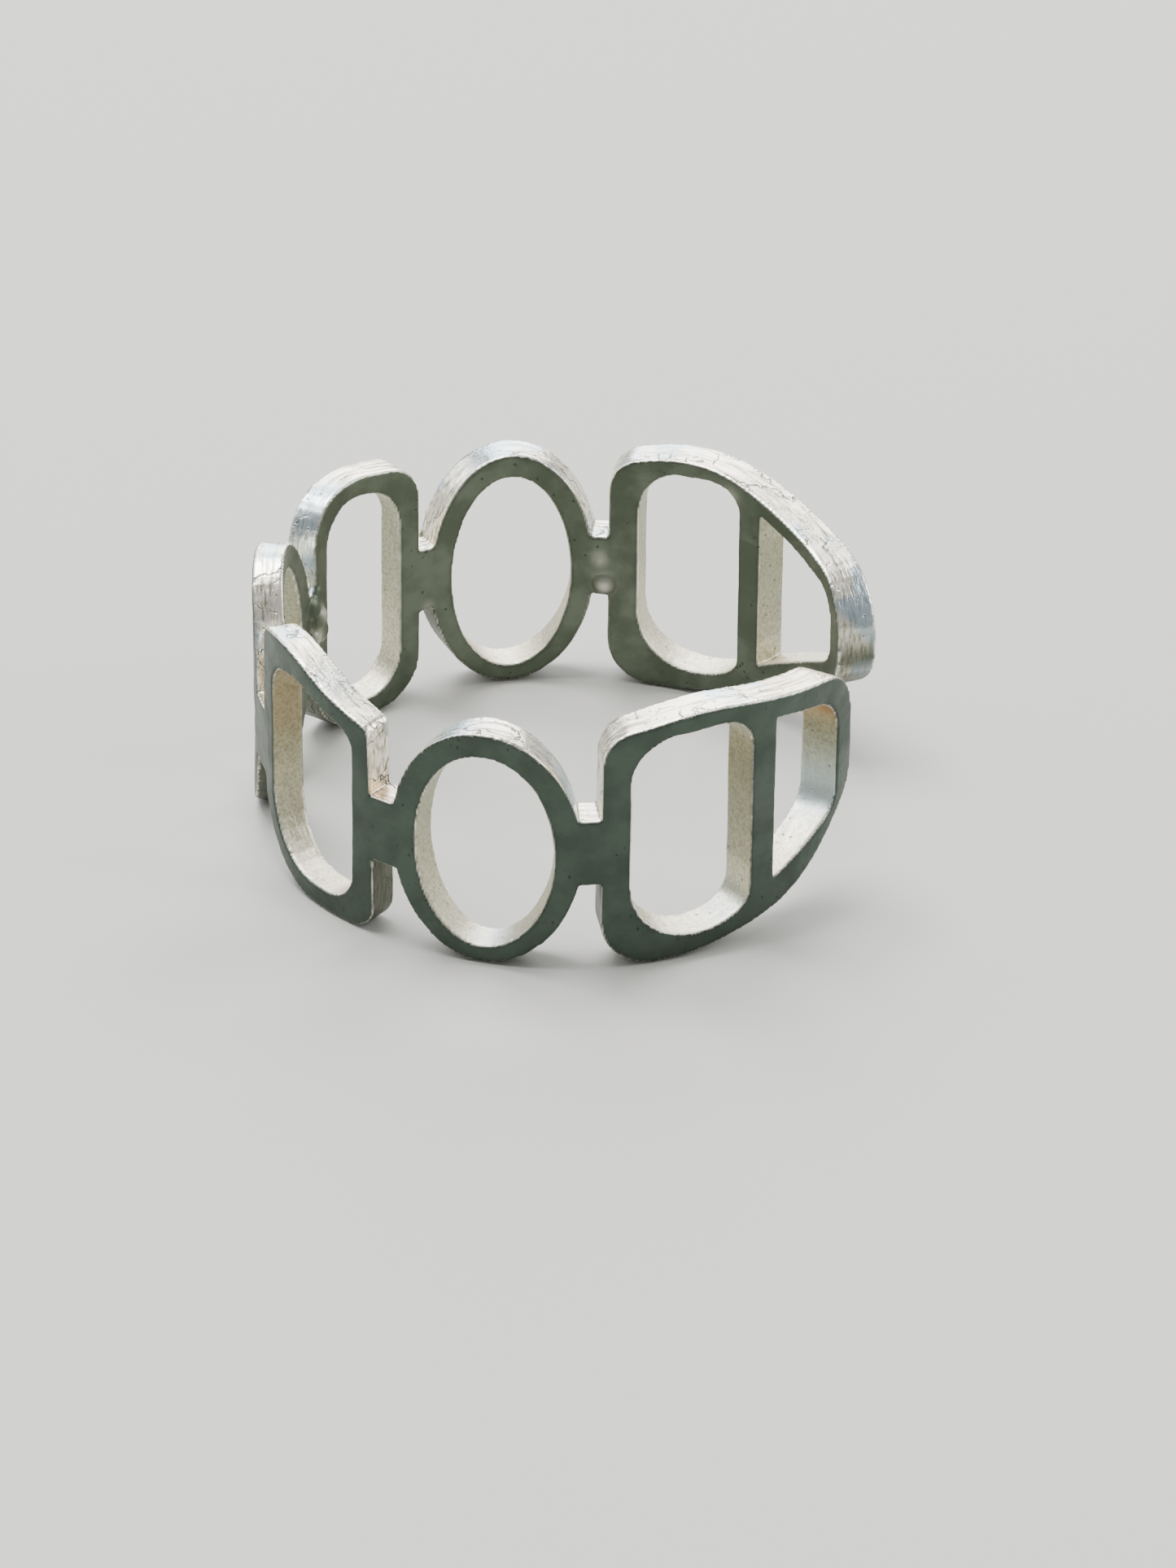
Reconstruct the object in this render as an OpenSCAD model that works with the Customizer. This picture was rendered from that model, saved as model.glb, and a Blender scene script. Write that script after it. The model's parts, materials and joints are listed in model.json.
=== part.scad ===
// Openwork adjustable band ring: seven outlined links soldered end to end round a finger,
// with the band left open between the two end links.
// Origin: on the finger axis, level with the band's lower rim. +Z runs along the finger axis,
// +X points through the middle of the gap, the rear arm is on the +Y side.
// Outlines are lists of corners, each [angle round the band from the gap, height, corner radius].

/* [Band] */
// Inner diameter, the finger size
inner_diameter = 18.2; // [16:0.1:21]
// Radial thickness of the flat wire
wall = 1.3; // [1:0.05:1.6]
// How much thinner the band is opposite its gap
back_thinning = 0.33; // [0:0.01:0.4]
// Width of the flat wire as seen from outside
wire_w = 0.8; // [0.6:0.05:0.95]

/* [Ovals] */
// Half of an oval link's width, in degrees round the band
oval_half = 17.8; // [17.2:0.1:18]
// Height of the front oval
front_oval_h = 8.3; // [8:0.05:8.8]
// Height of the rear oval
rear_oval_h = 8.6; // [8:0.05:9]
// Height of the centre link
centre_link_h = 9.1; // [8:0.05:9.3]
// Where the front oval is centred
front_oval_at = 102; // [101.6:0.1:102.4]
// Where the rear oval is centred
rear_oval_at = 102.8; // [102.6:0.1:103.2]
// Where the centre link is centred, counted up the rear arm
centre_link_at = 175.5; // [175:0.1:177]

/* [D links] */
// Far edge of the front D link
front_d_far = 160.3; // [158:0.1:162]
// Height of the front D link's top edge at its far side
front_d_top = 8.5; // [8:0.05:8.8]
// Far edge of the rear D link
rear_d_far = 155.8; // [154:0.1:156.5]
// Height of the rear D link's top edge, which stands a little proud
rear_d_top = 9.2; // [8.6:0.05:9.6]

/* [End links] */
// Where the front end link stops, counted from the gap
front_nose = 24.1; // [20:0.1:27]
// Where the rear end link stops before it is bent outwards
rear_nose = 16.2; // [13:0.1:20]
// Height at which the front end link's top edge reaches its nose
front_nose_top = 7.95; // [7.4:0.05:8.3]
// Height at which the rear end link's top edge reaches its nose
rear_nose_top = 6.45; // [6.2:0.05:7.5]
// How far the rear end link is bent outwards at its bridge
rear_splay = 3.3; // [0:0.1:4]
// Side of the crossbars nearest the gap
bar_near = 46.8; // [45:0.1:48]
// Side of the crossbars nearest the stem
bar_far = 52; // [51:0.1:53]

/* [Bridges] */
// Height of the middle of an ordinary bridge
bridge_z = 4.2; // [4:0.05:4.5]
// Height of an ordinary bridge
bridge_h = 2.3; // [1.8:0.1:2.5]
// Height of the middle of the repaired rear joint
repair_z = 5; // [4.6:0.1:5.2]
// Height of the repaired rear joint
repair_h = 1.8; // [1.4:0.1:2]

/* [Hidden] */
inner_r = inner_diameter / 2;
outer_r = inner_r + wall;
mid_r = (inner_r + outer_r) / 2;
mm_per_deg = mid_r * PI / 180;
wire_deg = wire_w / mm_per_deg;
// the radial prisms start well inside the band and stop well outside it
prism_from = 5.5;
prism_to = 12.5;
shell_below = 1;
shell_h = 12;
ring_fn = 180;
arc_steps = 9;
oval_steps = 76;
stem_edge = 80.7;
rear_stem_edge = 81.9;
stem_inside = 75.6;
front_d_near = 124;
rear_d_near = 123.8;
bridge_bite = 3;
splay_pivot = 82.8;
// beyond this angle a piece belongs to the thinned back of the band
back_from = 84;
full_turn = 360;

// ---- outlines, worked out flat in millimetres and handed back as [angle, height] ----

function flat(p) = [p[0] * mm_per_deg, p[1]];
function curl(p) = [p[0] / mm_per_deg, p[1]];
function unit(v) = v / norm(v);
function turn(v, w) = atan2(v[0] * w[1] - v[1] * w[0], v * w);

// the arc that rounds corner b, between its neighbours a and c, with radius r
function corner_arc(a, b, c, r) =
    let (
        to_a = unit(a - b),
        to_c = unit(c - b),
        half = acos(to_a * to_c) / 2,
        centre = b + unit(to_a + to_c) * r / sin(half),
        start = b + to_a * r / tan(half) - centre,
        finish = b + to_c * r / tan(half) - centre,
        first = atan2(start[1], start[0]),
        sweep = turn(start, finish)
    )
    [for (k = [0:arc_steps])
        centre + r * [cos(first + sweep * k / arc_steps), sin(first + sweep * k / arc_steps)]];

// a closed outline from its corners
function rounded(corners) =
    let (n = len(corners))
    [for (k = [0:n - 1])
        for (p = corner_arc(flat(corners[(k + n - 1) % n]), flat(corners[k]),
                            flat(corners[(k + 1) % n]), corners[k][2]))
            curl(p)];

function oval(centre, half, low, high) =
    [for (k = [0:oval_steps - 1])
        let (t = full_turn * k / oval_steps)
        [centre + half * cos(t), (low + high) / 2 + (high - low) / 2 * sin(t)]];

function block(near, far, low, high) = [[near, low], [far, low], [far, high], [near, high]];

function line_at(a, b, angle) = a[1] + (b[1] - a[1]) * (angle - a[0]) / (b[0] - a[0]);

// ---- the outline of every link ----

function oval_outer(at, height) = oval(at, oval_half, 0, height);
function oval_opening(at, height) = oval(at, oval_half - wire_deg, 0.55, height - wire_w);

front_d_outer = rounded([
    [front_d_near, 0, 0.9], [front_d_far, 0, 3.6], [front_d_far, front_d_top, 0.5],
    [149, front_d_top + 0.35, 4], [front_d_near + 1.3, front_d_top - 1.1, 0.35]
]);
front_d_opening = rounded([
    [front_d_near + 5, 0.7, 1.1], [front_d_far - 5, 0.7, 2.5],
    [front_d_far - 5, front_d_top - 0.9, 1], [145, front_d_top - 0.65, 2],
    [front_d_near + 5, front_d_top - 1.55, 0.8]
]);

rear_d_outer = rounded([
    [rear_d_near, 0, 1.7], [rear_d_far, 0, 2.6], [rear_d_far, rear_d_top - 0.25, 1.8],
    [140, rear_d_top, 4], [rear_d_near, rear_d_top - 0.45, 1.3]
]);
rear_d_opening = rounded([
    [rear_d_near + wire_deg, 0.6, 1.4], [rear_d_far - wire_deg, 0.6, 1.8],
    [rear_d_far - wire_deg, rear_d_top - 0.8, 1.5], [140, rear_d_top - 0.7, 2],
    [rear_d_near + wire_deg, rear_d_top - 1.05, 1.6]
]);

// an end link is a D laid on its side: a straight stem, and a bow that narrows to a nose
end_crown = 8.95;
stem_top = 8.3;

function end_outer(stem, nose, foot_at, foot_z, nose_foot, nose_top, foot_r, nose_r) = rounded([
    [stem, 0, 1.6], [65, 0, 8], [foot_at, foot_z, 6], [nose, nose_foot, foot_r],
    [nose, nose_top, nose_r], [62, end_crown, 7], [stem, stem_top, 1.2]
]);

// the two straight edges of an end link's opening that the crossbar meets
foot_far = [59, 0.77];
top_far = [58, end_crown - 0.7];

function end_opening(foot, top) = rounded([
    [stem_inside, foot_far[1], 2], [foot_far[0], foot_far[1], 3],
    [foot[0], foot[1], 1], [top[0], top[1], 1.4],
    [top_far[0], top_far[1], 3], [stem_inside, 8.15, 1.6]
]);

front_foot = [front_nose + 5, 3.35];
front_top = [front_nose + 5, front_nose_top - 0.75];
rear_foot = [rear_nose + 4.8, 3.8];
rear_top = [rear_nose + 4.8, rear_nose_top - 0.35];

front_end_outer = end_outer(stem_edge, front_nose, 41, 1.05, 3.75, front_nose_top, 1.4, 1.8);
front_end_opening = end_opening(front_foot, front_top);
rear_end_outer = end_outer(rear_stem_edge, rear_nose, 49, 0.65, 3.25, rear_nose_top, 2, 2.5);
rear_end_opening = end_opening(rear_foot, rear_top);

front_oval_outer = oval_outer(front_oval_at, front_oval_h);
rear_oval_outer = oval_outer(rear_oval_at, rear_oval_h);
centre_outer = oval_outer(centre_link_at, centre_link_h);

// the solder that rounds the corner between the crossbar's stem side and a rim of the opening
function solder_corner(near_end, far_end, up, r) =
    let (
        b = [bar_far, line_at(near_end, far_end, bar_far)],
        a = [bar_far, b[1] + up],
        c = far_end
    )
    concat([b], [for (p = corner_arc(flat(a), flat(b), flat(c), r)) curl(p)]);

// ---- solids ----

// everything in an outline, seen from the finger axis, with walls that point at the axis
module radial_prism(centre, outline) {
    rotate([0, 0, centre])
        rotate([90, 0, 90])
            translate([0, 0, prism_from])
                linear_extrude(height = prism_to - prism_from, scale = [prism_to / prism_from, 1])
                    polygon([for (p = outline) [prism_from * tan(p[0] - centre), p[1]]]);
}

module band(thinning) {
    translate([0, 0, -shell_below])
        difference() {
            translate([thinning, 0, 0])
                cylinder(r = outer_r, h = shell_h, $fn = ring_fn);
            translate([0, 0, -1])
                cylinder(r = inner_r, h = shell_h + 2, $fn = ring_fn);
        }
}

module piece(centre, outline) {
    intersection() {
        band(centre > back_from ? back_thinning : 0);
        radial_prism(centre, outline);
    }
}

module link(centre, outer, opening) {
    difference() {
        piece(centre, outer);
        radial_prism(centre, opening);
    }
}

module front() {
    mirror([0, 1, 0])
        children();
}

// the bend at the rear end bridge
module splayed() {
    at = mid_r * [cos(splay_pivot), sin(splay_pivot), 0];
    translate(at)
        rotate([0, 0, rear_splay])
            translate(-at)
                children();
}

module crossbar(centre, opening) {
    intersection() {
        piece(centre, opening);
        radial_prism(centre, block(bar_near, bar_far, -1, 11));
    }
}

// centres of the prisms: the middle of each link's span
end_mid = 50;
d_mid = 143;

module centre_link() {
    color("silver")
        link(centre_link_at, centre_outer, oval_opening(centre_link_at, centre_link_h));
}

module front_d_link() {
    color("silver")
        front()
            link(d_mid, front_d_outer, front_d_opening);
}

module front_oval_link() {
    color("silver")
        front()
            link(front_oval_at, front_oval_outer, oval_opening(front_oval_at, front_oval_h));
}

module front_end_link() {
    color("silver")
        front()
            link(end_mid, front_end_outer, front_end_opening);
}

module rear_d_link() {
    color("silver")
        link(d_mid, rear_d_outer, rear_d_opening);
}

module rear_oval_link() {
    color("silver")
        link(rear_oval_at, rear_oval_outer, oval_opening(rear_oval_at, rear_oval_h));
}

module rear_end_link() {
    color("silver")
        splayed()
            link(end_mid, rear_end_outer, rear_end_opening);
}

module front_crossbar() {
    color("gainsboro")
        front()
            crossbar(end_mid, front_end_opening);
}

module rear_crossbar() {
    color("gainsboro")
        splayed()
            crossbar(end_mid, rear_end_opening);
}

module front_crossbar_top_solder() {
    color("lightgray")
        front()
            piece(end_mid, solder_corner(front_top, top_far, -1, 1.1));
}

module front_crossbar_foot_solder() {
    color("lightgray")
        front()
            piece(end_mid, solder_corner(front_foot, foot_far, 1, 0.9));
}

module rear_crossbar_top_solder() {
    color("lightgray")
        splayed()
            piece(end_mid, solder_corner(rear_top, top_far, -1, 1));
}

module rear_crossbar_foot_solder() {
    color("lightgray")
        splayed()
            piece(end_mid, solder_corner(rear_foot, foot_far, 1, 0.8));
}

// a bridge fills the space between two links, so the links' own outlines trim it
module bridge_block(near, far, middle_z, height) {
    piece((near + far) / 2, block(near, far, middle_z - height / 2, middle_z + height / 2));
}

module front_end_bridge() {
    color("darkgray")
        front()
            difference() {
                bridge_block(stem_edge - bridge_bite, front_oval_at - oval_half + bridge_bite,
                             bridge_z, bridge_h);
                radial_prism(end_mid, front_end_outer);
                radial_prism(front_oval_at, front_oval_outer);
            }
}

module front_side_bridge() {
    color("darkgray")
        front()
            difference() {
                bridge_block(front_oval_at + oval_half - bridge_bite,
                             front_d_near + bridge_bite, bridge_z - 0.3, bridge_h);
                radial_prism(front_oval_at, front_oval_outer);
                radial_prism(d_mid, front_d_outer);
            }
}

module front_shoulder_bridge() {
    color("darkgray")
        front()
            difference() {
                bridge_block(front_d_far - bridge_bite,
                             full_turn - centre_link_at - oval_half + bridge_bite,
                             bridge_z, bridge_h);
                radial_prism(d_mid, front_d_outer);
                mirror([0, 1, 0])
                    radial_prism(centre_link_at, centre_outer);
            }
}

module rear_repair_joint() {
    color("darkgray")
        difference() {
            bridge_block(rear_d_far - bridge_bite, centre_link_at - oval_half + bridge_bite,
                         repair_z, repair_h);
            radial_prism(d_mid, rear_d_outer);
            radial_prism(centre_link_at, centre_outer);
        }
}

module rear_side_bridge() {
    color("darkgray")
        difference() {
            bridge_block(rear_oval_at + oval_half - bridge_bite, rear_d_near + bridge_bite,
                         bridge_z + 0.2, bridge_h);
            radial_prism(rear_oval_at, rear_oval_outer);
            radial_prism(d_mid, rear_d_outer);
        }
}

module rear_end_bridge() {
    color("darkgray")
        difference() {
            bridge_block(stem_edge - bridge_bite, rear_oval_at - oval_half + bridge_bite,
                         bridge_z + 0.2, bridge_h - 0.1);
            splayed()
                radial_prism(end_mid, rear_end_outer);
            radial_prism(rear_oval_at, rear_oval_outer);
        }
}

centre_link();
front_d_link();
front_oval_link();
front_end_link();
rear_d_link();
rear_oval_link();
rear_end_link();
front_crossbar();
front_crossbar_top_solder();
front_crossbar_foot_solder();
rear_crossbar();
rear_crossbar_top_solder();
rear_crossbar_foot_solder();
front_shoulder_bridge();
front_side_bridge();
front_end_bridge();
rear_repair_joint();
rear_side_bridge();
rear_end_bridge();
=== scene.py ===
import json
import math
import bpy
import numpy as np
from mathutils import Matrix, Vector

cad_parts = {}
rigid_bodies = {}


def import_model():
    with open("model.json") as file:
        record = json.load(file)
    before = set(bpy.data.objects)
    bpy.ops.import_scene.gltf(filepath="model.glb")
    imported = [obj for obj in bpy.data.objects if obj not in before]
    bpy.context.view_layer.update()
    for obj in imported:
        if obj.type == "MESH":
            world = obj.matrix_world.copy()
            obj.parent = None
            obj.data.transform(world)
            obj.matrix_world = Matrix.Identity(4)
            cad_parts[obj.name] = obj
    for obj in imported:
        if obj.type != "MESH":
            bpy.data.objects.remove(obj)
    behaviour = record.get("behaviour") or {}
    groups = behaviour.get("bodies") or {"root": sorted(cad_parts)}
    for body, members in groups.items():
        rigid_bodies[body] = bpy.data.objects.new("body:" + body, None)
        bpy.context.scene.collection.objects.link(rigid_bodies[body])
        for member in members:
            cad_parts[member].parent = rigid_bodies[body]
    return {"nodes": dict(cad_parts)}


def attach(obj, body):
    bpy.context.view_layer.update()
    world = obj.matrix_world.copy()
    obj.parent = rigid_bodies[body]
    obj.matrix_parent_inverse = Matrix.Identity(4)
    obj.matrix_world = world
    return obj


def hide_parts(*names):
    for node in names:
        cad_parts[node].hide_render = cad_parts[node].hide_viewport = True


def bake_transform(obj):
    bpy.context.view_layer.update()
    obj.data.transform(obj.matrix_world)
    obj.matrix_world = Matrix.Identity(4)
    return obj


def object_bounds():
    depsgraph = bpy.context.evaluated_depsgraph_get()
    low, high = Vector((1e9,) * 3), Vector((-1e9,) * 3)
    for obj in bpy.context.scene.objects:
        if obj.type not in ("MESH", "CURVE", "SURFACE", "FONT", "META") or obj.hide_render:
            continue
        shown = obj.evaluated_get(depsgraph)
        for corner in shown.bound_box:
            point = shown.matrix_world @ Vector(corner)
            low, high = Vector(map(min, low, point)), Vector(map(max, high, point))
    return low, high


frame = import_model()
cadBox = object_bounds()
print("frame loaded")


# camera, at the angle from which the ring is seen standing on its rim
cameraView = {
    "place": (0.00674648, -0.21742239, 0.12322178),
    "turn": (60.662413, -0.529497, 1.825194),
    "lens": 173.238,
}


def placeCamera():
    turn = tuple(math.radians(a) for a in cameraView["turn"])
    bpy.ops.object.camera_add(location=cameraView["place"], rotation=turn)
    camera = bpy.context.object
    camera.data.lens = cameraView["lens"]
    camera.data.sensor_width = 36
    camera.data.clip_start = 0.01
    bpy.context.scene.camera = camera


placeCamera()
print("camera placed")


def onlySelect(piece):
    bpy.ops.object.select_all(action="DESELECT")
    piece.select_set(True)
    bpy.context.view_layer.objects.active = piece


def copyOfNode(node):
    source = frame["nodes"][node]
    piece = bpy.data.objects.new(node + "Copy", source.data.copy())
    bpy.context.collection.objects.link(piece)
    onlySelect(piece)
    piece.scale = (1000, 1000, 1000)      # the band is worked on in millimetres
    bpy.ops.object.transform_apply(scale=True)
    bpy.ops.object.mode_set(mode="EDIT")
    bpy.ops.mesh.select_all(action="SELECT")
    bpy.ops.mesh.remove_doubles(threshold=0.002)
    bpy.ops.object.mode_set(mode="OBJECT")
    return piece


midRadius = 9.75      # mm, half way through the band's wall, where lengths along the band are measured


def polar(turn, radius, height):
    a = math.radians(turn)
    return (radius * math.cos(a), radius * math.sin(a), height)


# drops of solder: turn round the band in degrees, radius and height in mm, size in mm
solderDrops = {
    "repair": [(153.6, 9.2, 4.3, 0.44), (155.4, 9.08, 4.95, 0.46), (157.2, 9.12, 5.5, 0.4),
               (157.0, 9.15, 4.3, 0.42), (154.8, 9.2, 5.85, 0.34)],
    "rearEnd": [(82.6, 9.2, 3.7, 0.42), (83.5, 9.25, 4.6, 0.3)],
    "squash": 0.62,       # how flat a drop lies against the band
}


def addDrops(drops):
    made = []
    for turn, radius, height, size in drops:
        bpy.ops.mesh.primitive_ico_sphere_add(subdivisions=4, radius=size,
                                              location=polar(turn, radius, height),
                                              rotation=(0, 0, math.radians(turn)))
        drop = bpy.context.object
        drop.scale = (solderDrops["squash"], 1, 0.9)
        bpy.ops.object.transform_apply(location=True, rotation=True, scale=True)
        made.append(drop)
    return made


# the silver is first made as one piece, so that no joint between links shows a seam
bandWork = {
    "grid": 0.06,         # mm, of the remesh that melts the solid links together
    "swell": 0.03,        # mm
    "softening": 4,       # smoothing passes that round the filed edges
    "filing": 0.05,       # mm, how far the file has left the faces uneven
    "filingSize": 1.8,    # mm, from one unevenness to the next
    "dents": 0.014,       # mm
    "dentSize": 0.45,     # mm
}


def addUnevenness(piece, name, depth, size):
    pattern = bpy.data.textures.new(name, "CLOUDS")
    pattern.noise_scale = size
    pattern.noise_depth = 2
    change = piece.modifiers.new(name, "DISPLACE")
    change.texture = pattern
    change.texture_coords = "LOCAL"
    change.strength = depth
    change.mid_level = 0.5
    bpy.ops.object.modifier_apply(modifier=name)


def makeBand():
    copies = [copyOfNode(node) for node in sorted(frame["nodes"])]
    copies += addDrops(solderDrops["repair"] + solderDrops["rearEnd"])
    bpy.ops.object.select_all(action="DESELECT")
    for piece in copies:
        piece.select_set(True)
    bpy.context.view_layer.objects.active = copies[0]
    bpy.ops.object.join()
    band = bpy.context.object
    band.name = "band"
    band.data.materials.clear()
    melt = band.modifiers.new("melt", "REMESH")
    melt.mode = "VOXEL"
    melt.voxel_size = bandWork["grid"]
    bpy.ops.object.modifier_apply(modifier="melt")
    swell = band.modifiers.new("swell", "DISPLACE")      # what the softening then takes off the edges
    swell.strength = bandWork["swell"]
    swell.mid_level = 0
    bpy.ops.object.modifier_apply(modifier="swell")
    soften = band.modifiers.new("soften", "SMOOTH")
    soften.factor = 0.5
    soften.iterations = bandWork["softening"]
    bpy.ops.object.modifier_apply(modifier="soften")
    addUnevenness(band, "filing", bandWork["filing"], bandWork["filingSize"])
    addUnevenness(band, "dents", bandWork["dents"], bandWork["dentSize"])
    return band


def smoothStep(low, high, value):
    t = np.clip((value - low) / (high - low), 0, 1)
    return t * t * (3 - 2 * t)


def points(mesh, kind="vertices", field="co"):
    store = getattr(mesh, kind)
    values = np.zeros(len(store) * 3, np.float32)
    store.foreach_get(field, values)
    return values.reshape(-1, 3).astype(float)


def fitToFrame(band):
    # the uneven skin is brought back to the size of the solid model, less a hair all round
    place = points(band.data)
    low, high = place.min(0), place.max(0)
    want = np.array([[float(c) * 1000 for c in corner] for corner in cadBox])
    margin = 0.004      # mm
    scale = (want[1] - want[0] - 2 * margin) / (high - low)
    onlySelect(band)
    band.scale = tuple(scale)
    band.location = tuple(want[0] + margin - low * scale)
    bpy.ops.object.transform_apply(location=True, scale=True)


band = makeBand()
fitToFrame(band)
print("band melted together:", len(band.data.polygons), "faces")


# windows as (turn at the middle, middle height), counted round the band from the gap
windows = {
    "rearBow": (34, 5.0), "rearStem": (64.5, 4.4), "rearOval": (102.8, 4.3), "rearD": (139.8, 4.5),
    "centre": (175.5, 4.3), "frontD": (217.8, 4.1), "frontOval": (258, 4.2),
    "frontStem": (295.7, 4.4), "frontBow": (322, 5.2),
}
# spots on the silver as (turn, height in mm, spread in mm, strength)
spots = {
    # brown tarnish
    "tarnish": [(329, 7.2, 0.9, 0.9), (319, 7.9, 1.2, 0.3), (236.5, 5.2, 0.5, 0.45), (205, 6.2, 1.8, 0.32),
                (308, 6.5, 1.3, 0.22), (157.0, 4.9, 0.8, 0.3), (82.7, 4.0, 0.7, 0.2)],
    # bright spots on the solder of the inner face, in the rim's colour
    "brightSpot": [(82.4, 3.75, 0.3, 0.5), (83.5, 4.7, 0.25, 0.25), (54.5, 7.9, 0.3, 0.25),
                   (156.5, 4.3, 0.3, 0.55), (154.5, 5.1, 0.25, 0.45), (121.8, 3.4, 0.25, 0.15)],
    # patches painted pale blue: a painted reflection of an open sky on bright metal
    "paintedSkyReflection": [(333, 3.6, 1.3, 0.85), (221, 7.4, 0.8, 0.9), (252, 8.1, 0.8, 0.8), (286, 7.4, 0.6, 0.7),
                 (303, 1.5, 0.7, 0.5), (260, 0.8, 0.6, 0.5), (150, 8.1, 1.2, 0.9), (106, 8.5, 1.0, 0.8),
                 (78, 8.8, 0.8, 0.6), (143, 0.9, 0.8, 0.5)],
    # painted shade, and a duller finish, on the rim above the lower part, which has both all the way round
    "shadedDullRim": [(16.5, 4.2, 0.9, 1.0)],
}


def patches(turn, height, kind):
    strongest = np.zeros(len(turn))
    for middle, level, spread, strength in spots[kind]:
        sideways = ((turn - middle + 180) % 360 - 180) * math.pi / 180 * midRadius
        away = np.hypot(sideways, height - level)
        strongest = np.maximum(strongest, strength * np.exp(-(away / spread) ** 2))
    return strongest


def storeValue(mesh, name, values):
    attribute = mesh.attributes.new(name, "FLOAT", "POINT")
    attribute.data.foreach_set("value", values.astype(np.float32))


def markSurfaces(band):
    # what the materials need to know: which way a face looks, how worn its edge is, where it lies
    mesh = band.data
    place = points(mesh)
    normal = points(mesh, field="normal")
    turn = np.degrees(np.arctan2(place[:, 1], place[:, 0])) % 360
    radius = np.hypot(place[:, 0], place[:, 1])
    outwards = np.stack([place[:, 0], place[:, 1], 0 * radius], 1) / radius[:, None]
    along = np.stack([-outwards[:, 1], outwards[:, 0], 0 * radius], 1)
    facing = (normal * outwards).sum(1)
    sideways = (normal * along).sum(1)

    middles = np.array(list(windows.values()))
    steps = (turn[:, None] - middles[None, :, 0] + 180) % 360 - 180
    nearest = np.abs(steps).argmin(1)
    stepAlong = steps[np.arange(len(turn)), nearest] * math.pi / 180 * midRadius
    stepUp = place[:, 2] - middles[nearest, 1]
    towards = -(sideways * stepAlong + normal[:, 2] * stepUp) / (np.hypot(stepAlong, stepUp) + 0.01)

    ends = np.zeros(len(mesh.edges) * 2, np.int32)
    mesh.edges.foreach_get("vertices", ends)
    ends = ends.reshape(-1, 2)
    total = np.zeros_like(place)
    count = np.zeros(len(place))
    for a, b in ((0, 1), (1, 0)):
        np.add.at(total, ends[:, a], place[ends[:, b]])
        np.add.at(count, ends[:, a], 1)
    bulge = -(normal * (total / count[:, None] - place)).sum(1) / bandWork["grid"]

    storeValue(mesh, "outerFace", smoothStep(0.36, 0.6, facing))
    storeValue(mesh, "innerFace", smoothStep(0.36, 0.6, -facing))
    storeValue(mesh, "windowWall", smoothStep(0.0, 0.35, towards))
    upperWallShade = 0.5 + 0.5 * smoothStep(1.5, 5.5, place[:, 2])      # painted shade: upper walls are the darkest
    # painted sky reflection in the listed patches; the side-wall shade is kept off them
    paintedSkyShare = patches(turn, place[:, 2], "paintedSkyReflection")
    storeValue(mesh, "sideWallShade", smoothStep(0.4, 0.9, abs(sideways)) * upperWallShade * (1 - paintedSkyShare))
    lowRimShadeMask = (1 - smoothStep(2.8, 4.6, place[:, 2])) * 0.94      # painted shade and a duller finish on the part that the ring stands on
    storeValue(mesh, "shadedDullRim", np.maximum(lowRimShadeMask, patches(turn, place[:, 2], "shadedDullRim")))
    storeValue(mesh, "paintedSkyReflection", paintedSkyShare)
    storeValue(mesh, "wornEdge", smoothStep(0.06, 0.15, bulge) * (1 - smoothStep(0.55, 0.85, abs(facing))))
    # hollows, which the material darkens as painted shade in the notches
    storeValue(mesh, "hollow", smoothStep(0.03, 0.15, -bulge))
    storeValue(mesh, "brightSpot", patches(turn, place[:, 2], "brightSpot"))
    storeValue(mesh, "tarnish", patches(turn, place[:, 2], "tarnish"))
    storeValue(mesh, "bandTurn", turn * math.pi / 180 * midRadius)
    storeValue(mesh, "bandRadius", radius)


markSurfaces(band)
print("surfaces marked")

onlySelect(band)
band.scale = (0.001, 0.001, 0.001)
bpy.ops.object.transform_apply(scale=True)


# the band is parted at its bridges, where it bends in wear
# name: (first turn, last turn, material slot, bodies, nodes that it stands for)
parting = {
    "rearEnd": (0, 82.3, "satin_silver_wire", ["rear_end"],
                ["rear_end_link", "rear_crossbar_top_solder", "rear_crossbar_foot_solder"]),
    "rearEndBridge": (82.3, 84.6, "silver_solder", ["rear_end", "rear_oval"], ["rear_end_bridge"]),
    "rearOval": (84.6, 121, "satin_silver_wire", ["rear_oval"], ["rear_oval_link"]),
    "rearSideBridge": (121, 123.4, "silver_solder", ["rear_oval", "rear_d"], ["rear_side_bridge"]),
    "rearD": (123.4, 156.15, "satin_silver_wire", ["rear_d"], ["rear_d_link"]),
    "rearRepairJoint": (156.15, 157.4, "silver_solder", ["rear_d", "centre"], ["rear_repair_joint"]),
    "centreLink": (157.4, 194.2, "satin_silver_wire", ["centre"], ["centre_link"]),
    "frontShoulderBridge": (194.2, 198.8, "silver_solder", ["centre", "front_d"],
                            ["front_shoulder_bridge"]),
    "frontD": (198.8, 236.6, "satin_silver_wire", ["front_d"], ["front_d_link"]),
    "frontSideBridge": (236.6, 239.6, "silver_solder", ["front_d", "front_oval"],
                        ["front_side_bridge"]),
    "frontOval": (239.6, 276.4, "satin_silver_wire", ["front_oval"], ["front_oval_link"]),
    "frontEndBridge": (276.4, 278.8, "silver_solder", ["front_oval", "front_end"],
                       ["front_end_bridge"]),
    "frontEnd": (278.8, 360, "satin_silver_wire", ["front_end"],
                 ["front_end_link", "front_crossbar_top_solder", "front_crossbar_foot_solder"]),
}


def faceTurns(piece):
    middle = points(piece.data, "polygons", "center")
    return np.degrees(np.arctan2(middle[:, 1], middle[:, 0])) % 360, middle


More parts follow.
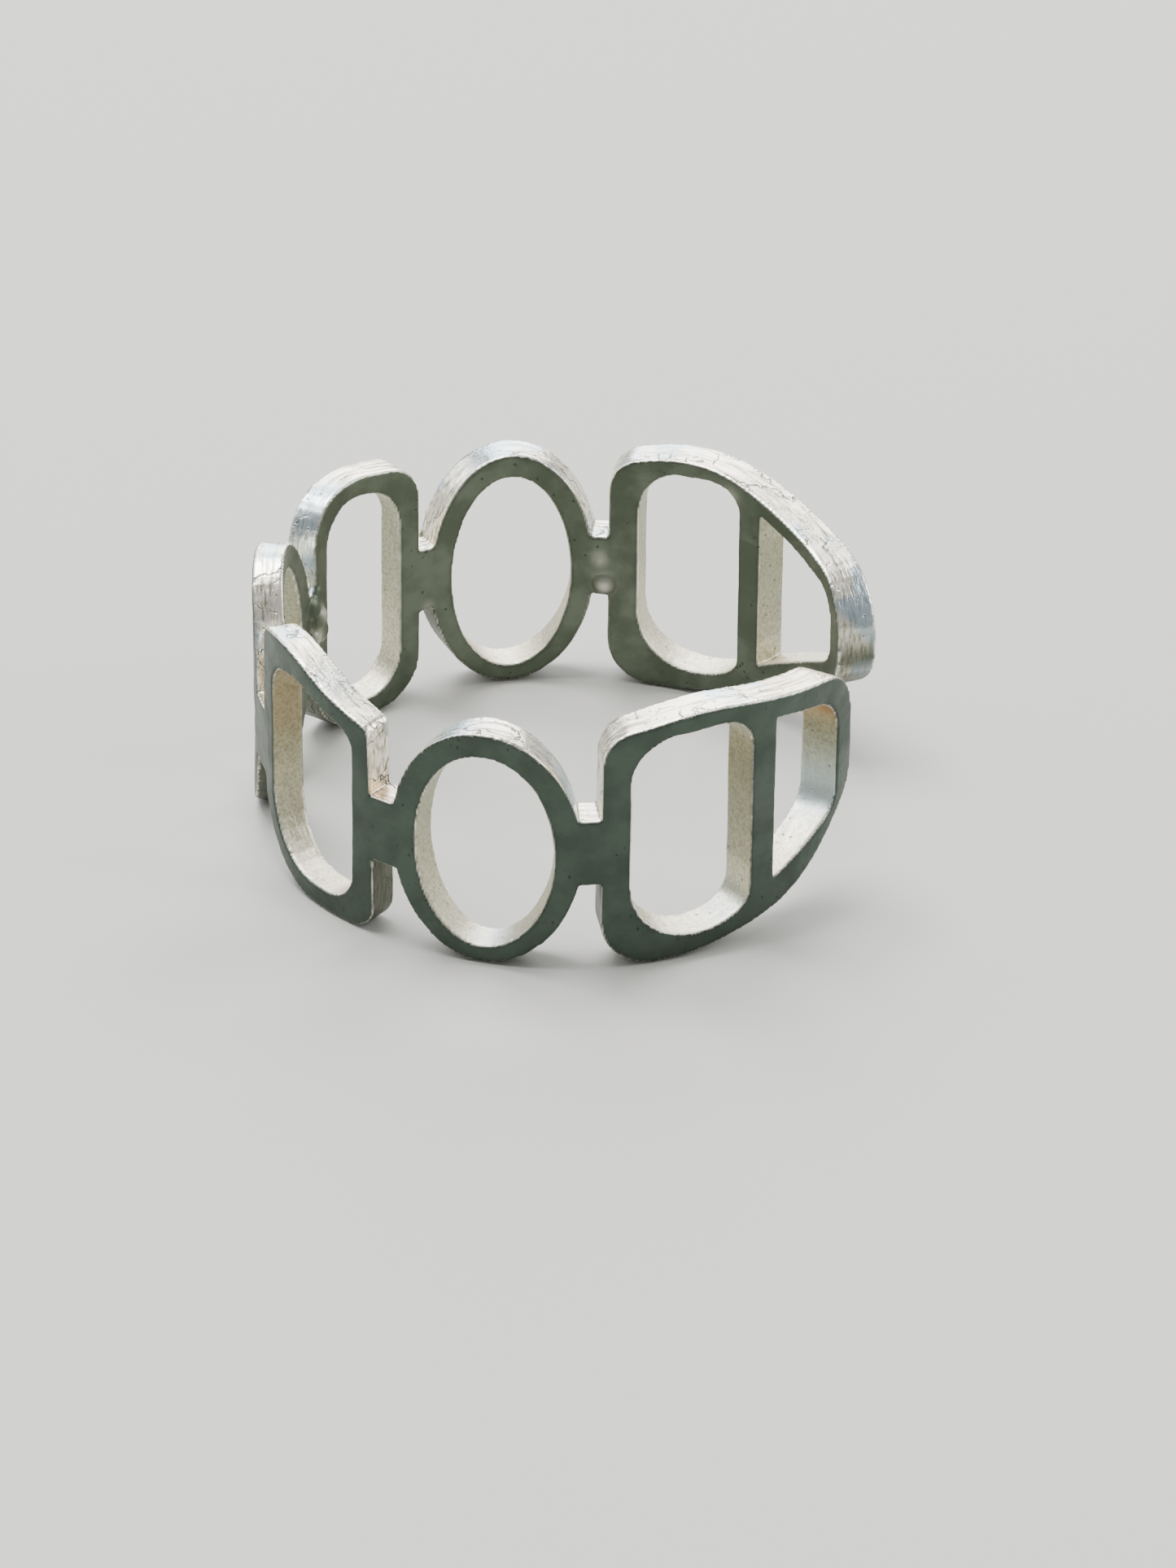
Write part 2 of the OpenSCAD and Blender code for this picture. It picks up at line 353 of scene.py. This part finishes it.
def selectFaces(piece, wanted):
    bpy.ops.object.mode_set(mode="EDIT")
    bpy.ops.mesh.select_all(action="DESELECT")
    bpy.ops.mesh.select_mode(type="FACE")
    bpy.ops.object.mode_set(mode="OBJECT")
    piece.data.polygons.foreach_set("select", wanted)
    bpy.ops.object.mode_set(mode="EDIT")


def cutPiece(name, first, last):
    piece = bpy.data.objects.new(name, band.data.copy())
    bpy.context.collection.objects.link(piece)
    onlySelect(piece)
    turns, middle = faceTurns(piece)
    spare = 4      # degrees left beyond each cut, for the bisect to trim
    selectFaces(piece, (turns < first - spare) | (turns > last + spare))
    bpy.ops.mesh.delete(type="FACE")
    for turn, side in ((first, -1), (last, 1)):
        if turn in (0, 360):
            continue
        a = math.radians(turn)
        bpy.ops.mesh.select_all(action="SELECT")
        bpy.ops.mesh.bisect(plane_co=(0, 0, 0), plane_no=(-side * math.sin(a), side * math.cos(a), 0),
                            use_fill=True, clear_outer=True, threshold=1e-7)
    bpy.ops.object.mode_set(mode="OBJECT")
    return piece


# each crossbar is parted from its end link just inside the solder:
# first and last turn round the band in degrees, lower and upper cut in metres
crossbarCut = {"frontEnd": (303, 318, 0.0027, 0.0066), "rearEnd": (42, 57, 0.0027, 0.0064)}


def partCrossbar(piece, name):
    first, last, low, high = crossbarCut[piece.name]
    near = 0.0004      # metres to either side of a cut
    onlySelect(piece)
    for height in (low, high):
        turns, middle = faceTurns(piece)
        selectFaces(piece, (turns > first) & (turns < last) & (np.abs(middle[:, 2] - height) < near))
        bpy.ops.mesh.bisect(plane_co=(0, 0, height), plane_no=(0, 0, 1), threshold=1e-7)
        bpy.ops.object.mode_set(mode="OBJECT")
    turns, middle = faceTurns(piece)
    selectFaces(piece, (turns > first) & (turns < last) & (middle[:, 2] > low) & (middle[:, 2] < high))
    before = set(bpy.data.objects)
    bpy.ops.mesh.separate(type="SELECTED")
    bpy.ops.object.mode_set(mode="OBJECT")
    bar = (set(bpy.data.objects) - before).pop()
    bar.name = name
    for part in (piece, bar):
        onlySelect(part)
        bpy.ops.object.mode_set(mode="EDIT")
        bpy.ops.mesh.select_mode(type="VERT")
        bpy.ops.mesh.select_all(action="DESELECT")
        bpy.ops.mesh.select_non_manifold()
        bpy.ops.mesh.fill_holes(sides=0)
        bpy.ops.object.mode_set(mode="OBJECT")
    return bar


pieces = {}
for name, (first, last, slotName, bodies, nodes) in parting.items():
    piece = cutPiece(name, first, last)
    pieces[name] = piece
    if name in crossbarCut:
        pieces[name + "Crossbar"] = partCrossbar(piece, name + "Crossbar")
    print("parted", name, len(piece.data.polygons), "faces")
bpy.data.objects.remove(band)


def linear(code):
    values = [int(code[i:i + 2], 16) / 255 for i in (1, 3, 5)]
    return tuple(v / 12.92 if v <= 0.04045 else ((v + 0.055) / 1.055) ** 2.4 for v in values) + (1,)


def addNode(material, name, kind, settings, links):
    # a link is the name of an earlier node, or its name and which of its outputs
    tree = material.node_tree
    node = tree.nodes.new("ShaderNode" + kind)
    node.name = name
    for key, value in settings.items():
        if isinstance(key, int) or key in node.inputs:
            node.inputs[key].default_value = value
        else:
            setattr(node, key, value)
    for socket, source in links.items():
        start, output = (source, 0) if isinstance(source, str) else source
        tree.links.new(tree.nodes[start].outputs[output], node.inputs[socket])


# sterling silver, filed and satin finished, then worn: what faces outwards has gone dull and grey, its green
# cast a painted reflection, rims and edges are rubbed bright, window walls keep the sawn grain; painted shade
# darkens the lower rim and the side walls, and patches of painted sky reflection lie on rims and walls
filedSilver = {
    "rim": "#FDF7E6", "rimShade": "#A8A28C", "wall": "#F4EDD7", "wallShade": "#C9C1A9",
    # the side wall colours and the lower rim colour are painted shade
    "side": "#B0B298", "sideShade": "#8B8972", "shadeOnLowRim": "#474D40",
    # the outer and inner faces: silver gone dull and grey, with a green cast that is a painted reflection
    "outer": "#49544B", "outerShade": "#424C44", "inner": "#646C5E", "innerShade": "#555D4F",
    "edge": "#FFFBEF", "tarnish": "#A97C45", "crack": "#3F3A30", "pit": "#343A33",
    # pale blue of the painted sky reflection
    "sky": "#BAD3E0",
    "outerRough": 0.42, "innerRough": 0.4, "wallRough": 0.46, "rimRough": 0.25,
    "grain": 0.014, "fileDepth": 0.009, "pitDepth": 0.02,      # mm
}
crossbarSilver = dict(filedSilver, wall="#D9D3C2", wallShade="#A9A08C", side="#A5A68C", inner="#575F51",
                      outer="#4B554D", tarnish="#8F7347", grain=0.018)
flowedSolder = dict(filedSilver, wallRough=0.4, rim="#FAF5E6")

surfaceMarks = ("outerFace", "innerFace", "windowWall", "sideWallShade", "wornEdge", "hollow", "brightSpot",
                "tarnish", "shadedDullRim", "paintedSkyReflection", "bandTurn", "bandRadius")


def makeSilver(name, look):
    material = bpy.data.materials.new(name)
    material.use_nodes = True
    material.node_tree.nodes.clear()
    tint = {key: linear(value) for key, value in look.items() if isinstance(value, str)}
    for mark in surfaceMarks:
        addNode(material, mark, "Attribute", {"attribute_name": mark}, {})
    soft, times, mix = {"interpolation_type": "SMOOTHSTEP"}, {"operation": "MULTIPLY"}, {"data_type": "RGBA"}
    most = {"operation": "MAXIMUM"}
    rows = [
        ("place", "TexCoord", {}, {}),
        ("inMillimetres", "Mapping", {"Scale": (1000, 1000, 1000)}, {"Vector": ("place", "Object")}),
        # the same place as it lies along, across and up the band, so that file marks follow the wire
        ("split", "SeparateXYZ", {}, {"Vector": "inMillimetres"}),
        ("alongBand", "CombineXYZ", {}, {"X": ("bandTurn", "Fac"), "Y": ("bandRadius", "Fac"),
                                         "Z": ("split", "Z")}),
        ("fileMarks", "Mapping", {"Scale": (0.55, 9, 2.2)}, {"Vector": "alongBand"}),
        # clouds of about 1.5 mm, file marks 0.1 mm across, saw grain of 0.1 mm, painted sky reflection in
        # patches of 2 mm
        ("mottleNoise", "TexNoise", {"Scale": 0.7, "Detail": 4, "Roughness": 0.55},
         {"Vector": "inMillimetres"}),
        ("mottle", "MapRange", {"From Min": 0.35, "From Max": 0.65, **soft}, {"Value": "mottleNoise"}),
        ("streakNoise", "TexNoise", {"Scale": 1, "Detail": 4, "Roughness": 0.6}, {"Vector": "fileMarks"}),
        ("streak", "MapRange", {"From Min": 0.45, "From Max": 0.64, **soft}, {"Value": "streakNoise"}),
        ("grain", "TexNoise", {"Scale": 9, "Detail": 5, "Roughness": 0.7}, {"Vector": "inMillimetres"}),
        ("sawn", "MapRange", {"From Min": 0.36, "From Max": 0.68, **soft}, {"Value": "grain"}),
        # painted sky reflection: pale blue streaks over the rims, joined with the listed patches
        ("skyNoise", "TexNoise", {"Scale": 0.55, "Detail": 2, "Roughness": 0.55}, {"Vector": "inMillimetres"}),
        ("skyStreak", "MapRange", {"From Min": 0.52, "From Max": 0.62, "To Max": 0.7, **soft},
         {"Value": "skyNoise"}),
        ("paintedSkyShare", "Math", most, {0: "skyStreak", 1: ("paintedSkyReflection", "Fac")}),

        ("rimFiled", "Mix", {**mix, 6: tint["rim"], 7: tint["rimShade"]}, {0: "streak"}),
        ("rimSky", "Mix", {**mix, 7: tint["sky"]}, {0: "paintedSkyShare", 6: ("rimFiled", 2)}),
        # painted shade on the lower rim
        ("rimTone", "Mix", {**mix, 7: tint["shadeOnLowRim"]}, {0: ("shadedDullRim", "Fac"), 6: ("rimSky", 2)}),
        ("wallSawn", "Mix", {**mix, 6: tint["wall"], 7: tint["wallShade"]}, {0: "sawn"}),
        # painted shade on walls that face along the band
        ("sideSawn", "Mix", {**mix, 6: tint["side"], 7: tint["sideShade"]}, {0: "sawn"}),
        ("wallSides", "Mix", mix, {0: ("sideWallShade", "Fac"), 6: ("wallSawn", 2), 7: ("sideSawn", 2)}),
        # painted sky reflection on the walls
        ("wallTone", "Mix", {**mix, 7: tint["sky"]}, {0: ("paintedSkyReflection", "Fac"), 6: ("wallSides", 2)}),
        ("outerTone", "Mix", {**mix, 6: tint["outer"], 7: tint["outerShade"]}, {0: "mottle"}),
        ("innerTone", "Mix", {**mix, 6: tint["inner"], 7: tint["innerShade"]}, {0: "mottle"}),
        ("bare", "Mix", mix, {0: ("windowWall", "Fac"), 6: ("rimTone", 2), 7: ("wallTone", 2)}),
        ("withOuter", "Mix", mix, {0: ("outerFace", "Fac"), 6: ("bare", 2), 7: ("outerTone", 2)}),
        ("withInner", "Mix", mix, {0: ("innerFace", "Fac"), 6: ("withOuter", 2), 7: ("innerTone", 2)}),

        # pits of 0.1 mm, thinly scattered
        ("cells", "TexVoronoi", {"Scale": 3.2, "Randomness": 1}, {"Vector": "inMillimetres"}),
        ("pitSize", "MapRange", {"From Min": 0.1, "From Max": 0.2, "To Min": 1, "To Max": 0, **soft},
         {"Value": ("cells", "Distance")}),
        ("pitNoise", "TexNoise", {"Scale": 1.3, "Detail": 2, "Roughness": 0.55}, {"Vector": "inMillimetres"}),
        ("pitArea", "MapRange", {"From Min": 0.5, "From Max": 0.6, **soft}, {"Value": "pitNoise"}),
        ("pit", "Math", times, {0: "pitSize", 1: "pitArea"}),
        # hair cracks on the rims, where the file has dragged
        ("bendNoise", "TexNoise", {"Scale": 1.4, "Detail": 3}, {"Vector": "inMillimetres"}),
        ("bent", "VectorMath", {"operation": "MULTIPLY_ADD", 1: (1.2, 1.2, 1.2)},
         {0: ("bendNoise", "Color"), 2: "alongBand"}),
        ("stretched", "Mapping", {"Scale": (0.35, 1.5, 1)}, {"Vector": "bent"}),
        ("hair", "TexVoronoi", {"feature": "DISTANCE_TO_EDGE", "Scale": 0.8}, {"Vector": "stretched"}),
        ("hairLine", "MapRange", {"From Min": 0.008, "From Max": 0.03, "To Min": 1, "To Max": 0, **soft},
         {"Value": ("hair", "Distance")}),
        ("crackNoise", "TexNoise", {"Scale": 0.45, "Detail": 2, "Roughness": 0.55},
         {"Vector": "inMillimetres"}),
        ("crackArea", "MapRange", {"From Min": 0.45, "From Max": 0.55, **soft}, {"Value": "crackNoise"}),
        ("cracks", "Math", times, {0: "hairLine", 1: "crackArea"}),
        ("faces", "Math", most, {0: ("outerFace", "Fac"), 1: ("innerFace", "Fac")}),
        ("notRim", "Math", most, {0: "faces", 1: ("windowWall", "Fac")}),
        ("onRim", "Math", {"operation": "SUBTRACT", 0: 1}, {1: "notRim"}),
        ("crack", "Math", times, {0: "cracks", 1: "onRim"}),
        ("edgeNoise", "TexNoise", {"Scale": 2.2, "Detail": 3, "Roughness": 0.55}, {"Vector": "inMillimetres"}),
        ("edgeWear", "MapRange", {"From Min": 0.3, "From Max": 0.6, "To Min": 0.6, "To Max": 1, **soft},
         {"Value": "edgeNoise"}),
        ("edge", "Math", times, {0: ("wornEdge", "Fac"), 1: "edgeWear"}),

        ("pitShare", "Math", {**times, 1: 0.6}, {0: "pit"}),
        ("pitted", "Mix", {**mix, 7: tint["pit"]}, {0: "pitShare", 6: ("withInner", 2)}),
        ("edged", "Mix", {**mix, 7: tint["edge"]}, {0: "edge", 6: ("pitted", 2)}),
        # painted shade: hollows and notches are toned up to half way toward the wall's darker colour
        ("creaseShadeShare", "Math", {**times, 1: 0.5}, {0: ("hollow", "Fac")}),
        ("creaseShaded", "Mix", {**mix, 7: tint["wallShade"]}, {0: "creaseShadeShare", 6: ("edged", 2)}),
        ("notFace", "Math", {"operation": "SUBTRACT", 0: 1}, {1: "faces"}),
        ("stain", "Math", times, {0: ("tarnish", "Fac"), 1: "notFace"}),
        ("stained", "Mix", {**mix, 7: tint["tarnish"]}, {0: "stain", 6: ("creaseShaded", 2)}),
        ("spot", "Math", times, {0: ("brightSpot", "Fac"), 1: ("innerFace", "Fac")}),
        ("spotted", "Mix", {**mix, 7: tint["rim"]}, {0: "spot", 6: ("stained", 2)}),
        ("crackShare", "Math", {**times, 1: 0.85}, {0: "crack"}),
        ("colour", "Mix", {**mix, 7: tint["crack"]}, {0: "crackShare", 6: ("spotted", 2)}),

        ("roughOuter", "Math", {"operation": "MULTIPLY_ADD", 1: look["outerRough"] - look["rimRough"],
                                2: look["rimRough"]}, {0: ("outerFace", "Fac")}),
        ("roughInner", "Math", {"operation": "MULTIPLY_ADD", 1: look["innerRough"] - look["rimRough"]},
         {0: ("innerFace", "Fac"), 2: "roughOuter"}),
        ("roughWall", "Math", {"operation": "MULTIPLY_ADD", 1: look["wallRough"] - look["rimRough"]},
         {0: ("windowWall", "Fac"), 2: "roughInner"}),
        ("dulledBare", "Math", times, {0: ("shadedDullRim", "Fac"), 1: "onRim"}),
        ("roughDulled", "Math", {"operation": "MULTIPLY_ADD", 1: look["wallRough"] - look["rimRough"]},
         {0: "dulledBare", 2: "roughWall"}),
        ("roughMottle", "MapRange", {"To Min": -0.04, "To Max": 0.05}, {"Value": "mottle"}),
        ("rough", "Math", {"operation": "ADD"}, {0: "roughDulled", 1: "roughMottle"}),

        ("fine", "Bump", {"Distance": look["grain"] * 0.001, "Strength": 0.6}, {"Height": "grain"}),
        ("marks", "Bump", {"Distance": look["fileDepth"] * 0.001, "Strength": 0.5, "invert": True},
         {"Height": "streak", "Normal": "fine"}),
        ("deepest", "Math", most, {0: "pit", 1: "crack"}),
        ("pits", "Bump", {"Distance": look["pitDepth"] * 0.001, "Strength": 0.8, "invert": True},
         {"Height": "deepest", "Normal": "marks"}),
        ("shader", "BsdfPrincipled", {"Metallic": 1},
         {"Base Color": ("colour", 2), "Roughness": "rough", "Normal": "pits"}),
        ("output", "OutputMaterial", {}, {"Surface": "shader"}),
    ]
    for row in rows:
        addNode(material, *row)
    return material


materials = {
    "satin_silver_wire": makeSilver("filedSterlingSilver", filedSilver),
    "crossbar_silver": makeSilver("sawnSterlingSilverBar", crossbarSilver),
    "silver_solder": makeSilver("flowedSilverSolder", flowedSolder),
}
print("silver mixed")


def finish(piece, slotName):
    onlySelect(piece)
    bpy.ops.object.shade_smooth_by_angle(angle=math.radians(50))
    piece.data.materials.clear()
    piece.data.materials.append(materials[slotName])


for name, (first, last, slotName, bodies, nodes) in parting.items():
    piece = pieces[name]
    finish(piece, slotName)
    if len(bodies) == 1:
        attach(piece, bodies[0])
    else:
        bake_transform(piece)
    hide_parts(*nodes)
    if name in crossbarCut:
        bar = pieces[name + "Crossbar"]
        finish(bar, "crossbar_silver")
        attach(bar, bodies[0])
        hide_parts(bodies[0].replace("_end", "_crossbar"))
print("pieces riding")


# a plain pale table top and soft light
studio = {
    "floor": "#BAB9B4", "air": "#EEF2F5", "airStrength": 0.5,
    "overhead": 6.0, "overheadSize": 0.35, "back": 7.0, "backSize": 0.6,
    "right": 3.5, "left": 2.5, "sideSize": 0.4,
}


def makeStudio():
    bpy.ops.mesh.primitive_plane_add(size=3, location=(0, 0, float(cadBox[0][2]) - 0.00001))
    floor = bpy.context.object
    floor.name = "tableTop"
    material = bpy.data.materials.new("paleMattTableTop")
    material.use_nodes = True
    shader = material.node_tree.nodes["Principled BSDF"]
    shader.inputs["Base Color"].default_value = linear(studio["floor"])
    shader.inputs["Roughness"].default_value = 0.8
    floor.data.materials.append(material)
    for name, place, turn, size, power in (
            ("overheadSoftbox", (-0.12, 0.1, 0.55), (-12, -12, 0), studio["overheadSize"], studio["overhead"]),
            ("backSoftbox", (0.05, 0.7, 0.36), (-62, 0, 4), studio["backSize"], studio["back"]),
            ("rightSoftbox", (0.6, 0.15, 0.3), (0, 66, 10), studio["sideSize"], studio["right"]),
            ("leftSoftbox", (-0.55, 0.3, 0.4), (0, -58, -28), studio["sideSize"], studio["left"])):
        bpy.ops.object.light_add(type="AREA", location=place,
                                 rotation=tuple(math.radians(a) for a in turn))
        light = bpy.context.object
        light.name = name
        light.data.size = size
        light.data.energy = power
    world = bpy.data.worlds.new("air")
    bpy.context.scene.world = world
    world.use_nodes = True
    background = world.node_tree.nodes["Background"]
    background.inputs["Color"].default_value = linear(studio["air"])
    background.inputs["Strength"].default_value = studio["airStrength"]


makeStudio()
print("studio lit")
